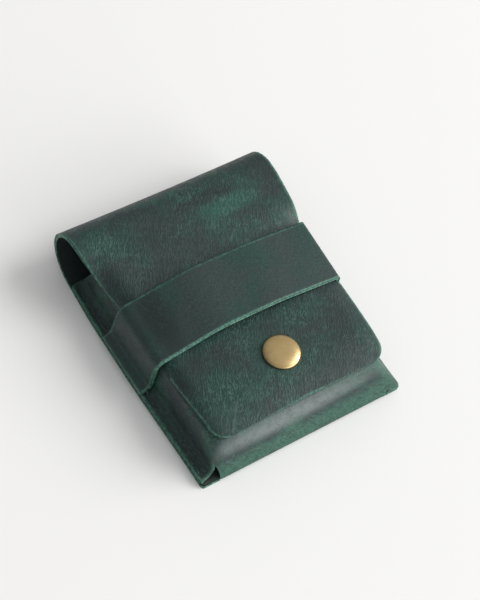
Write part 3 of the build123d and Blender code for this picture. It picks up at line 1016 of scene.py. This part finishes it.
def edge_colours(tree, place, colour):
    """The outside's colour, worn at its edges, and the colour of the cut edges themselves."""
    worn = times(tree, remap(tree, mark(tree, "from_edge"), 1.1, 0.1),
                 remap(tree, noise(tree, place, 0.9, 3.0), 0.35, 0.7, 0.35, 1.0))
    colour = blend_colour(tree, worn, colour, WORN_EDGE)
    stained = remap(tree, noise(tree, place, 1.0, 3.0, 0.7), 0.35, 0.65, 0.0, 0.75)
    cut = blend_colour(tree, stained, CUT_EDGE, GREEN)
    return blend_colour(tree, mark(tree, "edge"), colour, cut)


def leather_material(name, scuffs, shades, painted_sheen=(), streak=(), strokes=1.0, grain=1.0,
                     roughness=0.46, grey=GREY, green=GREEN, blotches=0.0):
    """Waxed leather: green patches on grey, fine strokes and grain, and paler worn edges."""
    material, tree = material_tree(name)
    place = millimetres(tree, node(tree, "ShaderNodeUVMap", uv_map="pattern").outputs[0])
    mottle = noise(tree, place, 0.30, 4.0, 0.65)
    wavy = wavering(tree, place, 0.16, 2.2)
    lined = noise(tree, along_strokes(tree, wavy, STROKE_ANGLE, 0.68, 3.9), 1.0)
    fine = noise(tree, along_strokes(tree, wavy, STROKE_ANGLE, 0.42, 0.95), 1.0, 2.0, 0.6)
    crease = remap(tree, sums(tree, "ABSOLUTE", sums(tree, "SUBTRACT", lined, 0.5)), 0.06, 0.0)
    presence = remap(tree, noise(tree, place, 0.10), 0.38, 0.62, 0.5, 1.0)
    crease = times(tree, crease, times(tree, presence, strokes))

    greener = remap(tree, noise(tree, place, 0.055, 3.0, 0.6), 0.40, 0.68, 0.0, 0.85)
    for spot in spots(tree, place, scuffs):
        greener = sums(tree, "ADD", greener, spot)
    greener = times(tree, greener, remap(tree, mottle, 0.30, 0.62, 0.65, 1.1))
    greener = node(tree, "ShaderNodeClamp", {"Value": greener}).outputs[0]
    shade = remap(tree, fine, 0.72, 0.30, 0.0, 0.62)
    # The darker ovals: painted shade where it is given, and darker patches
    for spot in spots(tree, place, shades):
        shade = sums(tree, "MAXIMUM", shade, spot)
    blotchy = remap(tree, noise(tree, place, 0.42, 3.0, 0.6), 0.48, 0.60, 0.0, blotches)
    shade = sums(tree, "MAXIMUM", shade, blotchy)
    colour = blend_colour(tree, shade, blend_colour(tree, greener, grey, green), DARK)
    # Fresh green streaks, then the painted sheen: a pale grey reflection painted into the colour
    for ovals, least, tint in ((streak, 0.45, FRESH), (painted_sheen, 0.65, PAINTED_SHEEN_GREY)):
        for spot in spots(tree, place, ovals):
            spot = times(tree, spot, remap(tree, mottle, 0.3, 0.6, least, 1.0))
            colour = blend_colour(tree, spot, colour, tint)
    lighter = times(tree, crease, sums(tree, "MULTIPLY_ADD", greener, 0.60, 0.30))
    colour = blend_colour(tree, lighter, colour, STROKE)
    colour = edge_colours(tree, place, colour)
    flesh = mark(tree, "flesh")
    nap = blend_colour(tree, remap(tree, fine, 0.3, 0.7), FLESH, DARK)
    colour = blend_colour(tree, flesh, colour, nap)

    cells = node(tree, "ShaderNodeTexVoronoi", {"Vector": wavy, "Scale": 1.15},
                 voronoi_dimensions="2D", feature="SMOOTH_F1").outputs["Distance"]
    relief = times(tree, cells, 0.035 * grain)
    for texture, depth in (
            (fine, 0.055 * grain), (lined, 0.10 * strokes), (crease, -0.03), (mottle, 0.10)):
        relief = sums(tree, "MULTIPLY_ADD", texture, depth, relief)
    gloss = remap(tree, mottle, 0.3, 0.7, roughness - 0.06, roughness + 0.08)
    gloss = sums(tree, "MULTIPLY_ADD", flesh, 0.35, gloss)
    surface(tree, colour, gloss, relief, Specular_IOR_Level=LEATHER_SHINE)
    return material


BRASS = (0.56, 0.42, 0.21)
BRASS_PATINA = (0.48, 0.35, 0.165)
BRASS_BRUSHED = (0.40, 0.28, 0.12)
THREAD = (0.010, 0.022, 0.026)
THREAD_FIBRES = (0.035, 0.085, 0.080)


def brass_material(name, roughness):
    """Satin brass: faint cloudy patina and fine brushing."""
    material, tree = material_tree(name)
    place = object_place(tree)
    cloudy = noise(tree, place, 0.35, 3.0, 0.6)
    brushed = noise(tree, along_strokes(tree, place, 0.6, 0.08, 2.5), 1.0)
    colour = blend_colour(tree, remap(tree, cloudy, 0.3, 0.7), BRASS, BRASS_PATINA)
    marks = remap(tree, brushed, 0.45, 0.7, 0.0, 0.15)
    colour = blend_colour(tree, marks, colour, BRASS_BRUSHED)
    gloss = remap(tree, cloudy, 0.3, 0.7, roughness - 0.04, roughness + 0.07)
    relief = sums(tree, "MULTIPLY_ADD", cloudy, 0.02, times(tree, brushed, 0.004))
    surface(tree, colour, gloss, relief, Metallic=1.0)
    return material


def thread_material(name):
    """Waxed dark green thread, with the fibres of its plies."""
    material, tree = material_tree(name)
    fibres = noise(tree, along_strokes(tree, object_place(tree), 0.5, 0.1, 0.8), 1.0)
    colour = blend_colour(tree, remap(tree, fibres, 0.35, 0.7), THREAD, THREAD_FIBRES)
    surface(tree, colour, 0.55, times(tree, fibres, 0.03))
    return material


def floor_material(name):
    """A plain pale matt floor."""
    material, tree = material_tree(name)
    place = node(tree, "ShaderNodeTexCoord").outputs["Object"]
    surface(tree, remap(tree, noise(tree, place, 3.0), 0.3, 0.7, 0.855, 0.865), 0.9)
    return material


# -------- light, floor and camera

CAMERA_AZIMUTH = math.radians(-46.76)
CAMERA_ELEVATION = math.radians(55.6)
CAMERA_ROLL = math.radians(16.41)
CAMERA_TARGET = Vector((0, 1.5, 10)) * MM
CAMERA_PLACE = Vector((4.39, 1.56, 395.1)) * MM     # from the target: right, up and back
CAMERA_LENS = 72.0


def build_camera():
    """The camera, turned round the holder and rolled."""
    camera = bpy.data.cameras.new("camera")
    camera.lens = CAMERA_LENS
    camera.clip_start = 10 * MM
    turned = (Matrix.Rotation(CAMERA_AZIMUTH, 4, "Z")
              @ Matrix.Rotation(math.pi / 2 - CAMERA_ELEVATION, 4, "X")
              @ Matrix.Rotation(CAMERA_ROLL, 4, "Z"))
    holder = linked("camera", camera)
    holder.matrix_world = (
        Matrix.Translation(CAMERA_TARGET) @ turned @ Matrix.Translation(CAMERA_PLACE))
    bpy.context.scene.camera = holder


# Each lamp's place and size in metres, power in watts and colour
LAMPS = {
    "key": ((2.2, -0.95, 1.7), (2.0, 2.0), 68.0, (1.0, 0.99, 0.975)),
    "front": ((1.0, -2.2, 0.7), (2.4, 1.0), 27.0, (1.0, 0.99, 0.98)),
}
BRIGHT_SIDE = (0.80, -0.42, 0.43)   # the way to the brighter side of the surround
SURROUND = (0.23, 0.74)             # strengths away from there and towards it
SURROUND_COLOUR = (0.972, 0.970, 0.965, 1)
FLOOR_REACH = 6.0
FLOOR_Z = -0.02 * MM                # so that no faces coincide


def build_lamp(name, place, size, power, colour):
    """A soft rectangular lamp that points to the holder."""
    light = bpy.data.lights.new(name, "AREA")
    light.shape = "RECTANGLE"
    light.size, light.size_y = size
    light.energy = power
    light.color = colour
    lamp = linked(name, light)
    lamp.location = place
    lamp.rotation_mode = "QUATERNION"
    lamp.rotation_quaternion = Vector(place).to_track_quat("Z", "Y")
    lamp.visible_camera = False


def build_studio():
    """A pale floor, two soft lamps, and a pale surround that is brighter on their side."""
    world = bpy.data.worlds.new("surround")
    world.use_nodes = True
    tree = world.node_tree
    way = node(tree, "ShaderNodeTexCoord").outputs["Generated"]
    to_light = vectors(tree, "DOT_PRODUCT", way, BRIGHT_SIDE, output="Value")
    background = tree.nodes["Background"].inputs
    background["Color"].default_value = SURROUND_COLOUR
    tree.links.new(remap(tree, to_light, -0.9, 0.9, *SURROUND), background["Strength"])
    bpy.context.scene.world = world
    for name, settings in LAMPS.items():
        build_lamp(name, *settings)
    floor_mesh = bpy.data.meshes.new("floor")
    left, right = -FLOOR_REACH, FLOOR_REACH
    corners = ((left, left, 0), (right, left, 0), (right, right, 0), (left, right, 0))
    floor_mesh.from_pydata(corners, [], [(0, 1, 2, 3)])
    floor = linked("floor", floor_mesh)
    floor.location.z = FLOOR_Z
    floor.data.materials.append(floor_material("floor"))
    bpy.context.scene.view_settings.view_transform = "Standard"


def build_leather():
    """All the leather. Returns the pieces that the seams can lie on."""
    leather = leather_material(
        "leather", WRAP_SCUFFS, WRAP_SHADES, streak=WRAP_STREAK, roughness=0.50)
    # The walls' leather has a painted sheen on the bottom wall and painted shade on the left wall
    wall_leather = leather_material(
        "wall_leather", WALL_SCUFFS, WALL_PAINTED_SHADE, WALL_PAINTED_SHEEN, green=WALL_GREEN, blotches=0.6)
    band_leather = leather_material(
        "band_leather", WRAP_SCUFFS, WRAP_SHADES, strokes=0.25, grain=0.5, grey=BAND_GREY_AND_PAINTED_LIGHT)
    build_wrap(leather)
    feet = build_walls(wall_leather)
    build_panel(leather)
    return *feet, build_band(band_leather)


def build_seams(under):
    thread = thread_material("thread")
    height = heights_over(under)
    for side, x in (("left", -SEAM_X), ("right", SEAM_X)):
        seam = build_seam("seam_" + side, x, height, thread)
        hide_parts("stitching_" + side)


def build_brass():
    """The cap of the press stud, and the looks of the four parts that stay as they are."""
    brass = brass_material("brass", 0.34)
    build_cap(brass)
    for name in ("snap_socket", "snap_spring", "snap_stud", "snap_post"):
        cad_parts[name].data.materials[0] = brass


build_seams(build_leather())
build_brass()
build_studio()
build_camera()
